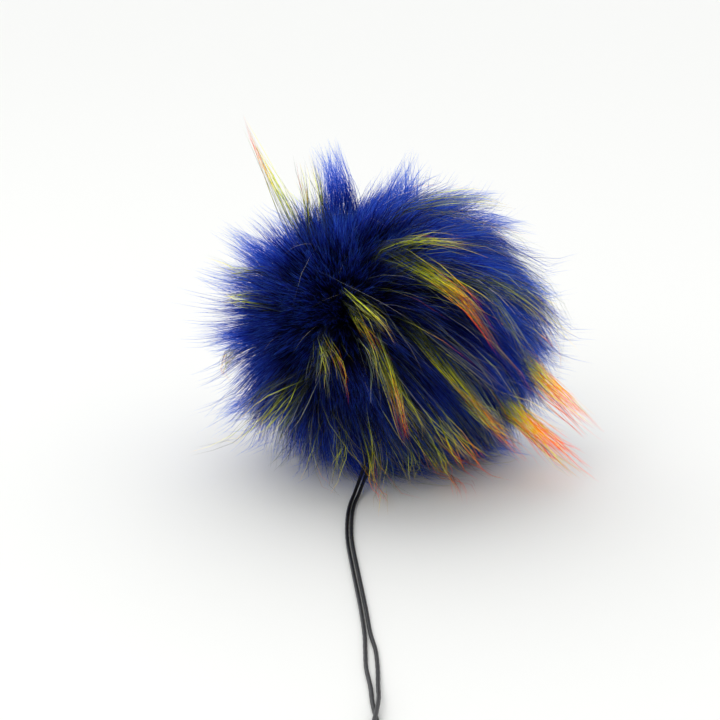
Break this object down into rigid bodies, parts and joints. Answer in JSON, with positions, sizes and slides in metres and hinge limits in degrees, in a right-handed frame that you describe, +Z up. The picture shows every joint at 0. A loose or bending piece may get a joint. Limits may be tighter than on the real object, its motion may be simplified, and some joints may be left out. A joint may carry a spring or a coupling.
{
  "type": "faux fur pompom with tie",
  "caption": "Long-haired faux-fur pompom: a gathered ball of fur cloth with combed locks, and the two ends of its drawstring laid out as ties.",
  "frame": {"origin": "on the surface the pompom rests on, straight under the middle of its ball", "axes": "+Z up; the whorl of the fur and the tie face -Y; +X is to the right as seen from there"},
  "size_m": [0.1601, 0.325, 0.131],
  "materials": {
    "fur": "long acrylic pile, royal blue under guard hairs that run from green through yellow and orange to red",
    "tie_cord": "round braided cord, black, slightly glossy"
  },
  "bodies": {
    "root": {"pompom": "fur", "tie_left": "tie_cord", "tie_right": "tie_cord"}
  },
  "joints": []
}
